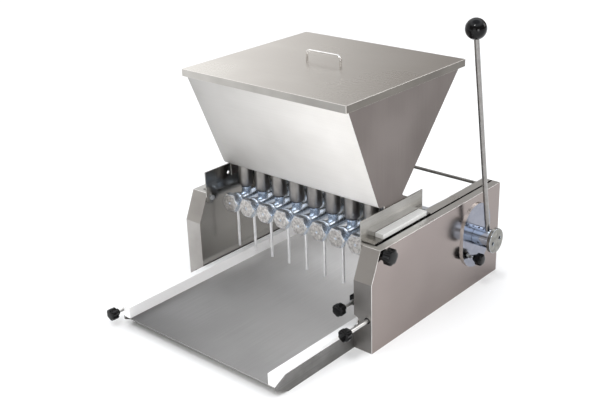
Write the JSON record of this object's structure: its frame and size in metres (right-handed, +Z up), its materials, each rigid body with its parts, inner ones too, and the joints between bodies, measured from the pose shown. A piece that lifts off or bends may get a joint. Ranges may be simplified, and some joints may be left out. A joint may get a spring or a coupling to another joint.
{
  "type": "praline filling dispenser",
  "caption": "Hand-driven praline filling dispenser: steel hopper with lid over a row of dosing cylinders with needles, between two side boxes with a lever and a tray table.",
  "frame": {"origin": "middle of the underside of the whole machine's bounding box, on the table it stands on", "axes": "+X to the lever side, +Y from the tray table's front to the back, +Z up"},
  "size_m": [0.5375, 0.6764, 0.5802],
  "materials": {
    "stainless_sheet": "brushed",
    "stainless_turned": "polished",
    "aluminium": "satin",
    "steel": "satin",
    "black_plastic": "gloss",
    "white_plastic": "matte",
    "seal_rubber": "matte",
    "bearing_bronze": "satin"
  },
  "bodies": {
    "base": {"right_inner_frame": "stainless_sheet", "left_inner_frame": "stainless_sheet", "right_outer_cover": "stainless_sheet", "left_outer_cover": "stainless_sheet", "base_plate": "stainless_sheet", "right_side_rail": "stainless_sheet", "left_side_rail": "stainless_sheet", "right_slide_strip": "white_plastic", "left_slide_strip": "white_plastic", "frame_screws": "steel", "tie_rod": "steel", "hopper": "stainless_sheet", "right_bracket": "stainless_sheet", "left_bracket": "stainless_sheet", "right_clamp_bar": "aluminium", "left_clamp_bar": "aluminium", "hopper_screws": "steel", "dosing_cylinder_1": "stainless_turned", "dosing_cylinder_2": "stainless_turned", "dosing_cylinder_3": "stainless_turned", "dosing_cylinder_4": "stainless_turned", "dosing_cylinder_5": "stainless_turned", "dosing_cylinder_6": "stainless_turned", "dosing_cylinder_7": "stainless_turned", "dosing_cylinder_8": "stainless_turned", "end_caps": "stainless_turned", "needles": "stainless_turned", "feed_tubes": "stainless_turned", "tube_seals": "seal_rubber", "rod_glands": "bearing_bronze", "cylinder_rail": "stainless_sheet", "shaft_bushes": "bearing_bronze", "dial_plate": "aluminium", "dose_stop_nut": "steel", "rod_guides": "black_plastic"},
    "lever": {"lever_shaft": "steel", "lever_hub": "aluminium", "hub_disc": "aluminium", "hub_screws": "steel", "lever_rod": "stainless_turned", "ball_knob": "black_plastic", "left_crank": "steel", "right_crank": "steel"},
    "carriage": {"drive_pins": "steel", "push_links": "aluminium", "yoke": "aluminium", "piston_rods": "stainless_turned", "pistons": "white_plastic", "piston_seals": "seal_rubber"},
    "lid_body": {"lid": "stainless_sheet", "lid_handle": "stainless_turned", "handle_nuts": "stainless_turned"},
    "clamp": {"clamp_knob": "black_plastic"},
    "dose_stop": {"dose_stop_knob": "black_plastic"},
    "dose_screw": {"dose_knob": "black_plastic", "dose_spindle": "stainless_turned"},
    "tray_stop": {"tray_stop_knob": "black_plastic", "tray_stop_rod": "stainless_turned"},
    "tray_feed": {"feed_knob": "black_plastic", "feed_rod": "stainless_turned"}
  },
  "joints": [
    {"name": "lever_swing", "type": "hinge", "parent": "base", "child": "lever", "pos_m": [0.22275, 0.2448, 0.116], "axis": [1, 0, 0], "range_deg": [-4, 26]},
    {"name": "carriage_slide", "type": "slide", "parent": "base", "child": "carriage", "axis": [0, -1, 0], "range_m": [-0.00464, 0.02903]},
    {"name": "lid_lift", "type": "slide", "parent": "base", "child": "lid_body", "axis": [0, 0, 1], "range_m": [0, 0.06]},
    {"name": "clamp_turn", "type": "hinge", "parent": "base", "child": "clamp", "pos_m": [0.21825, -0.0662, 0.191], "axis": [1, 0, 0], "continuous": true},
    {"name": "dose_stop_turn", "type": "hinge", "parent": "base", "child": "dose_stop", "pos_m": [0.21825, 0.22587, 0.07408], "axis": [1, 0, 0], "continuous": true},
    {"name": "dose_screw_turn", "type": "hinge", "parent": "base", "child": "dose_screw", "pos_m": [0.20775, -0.1022, 0.067], "axis": [0, 1, 0], "continuous": true},
    {"name": "tray_stop_slide", "type": "slide", "parent": "base", "child": "tray_stop", "axis": [0, 1, 0], "range_m": [-0.09, 0.02]},
    {"name": "tray_feed_slide", "type": "slide", "parent": "base", "child": "tray_feed", "axis": [0, 1, 0], "range_m": [0, 0.14]}
  ],
  "couplings": [
    {"joint": "carriage_slide", "follows": "lever_swing", "m_per_rad": 0.06353}
  ]
}
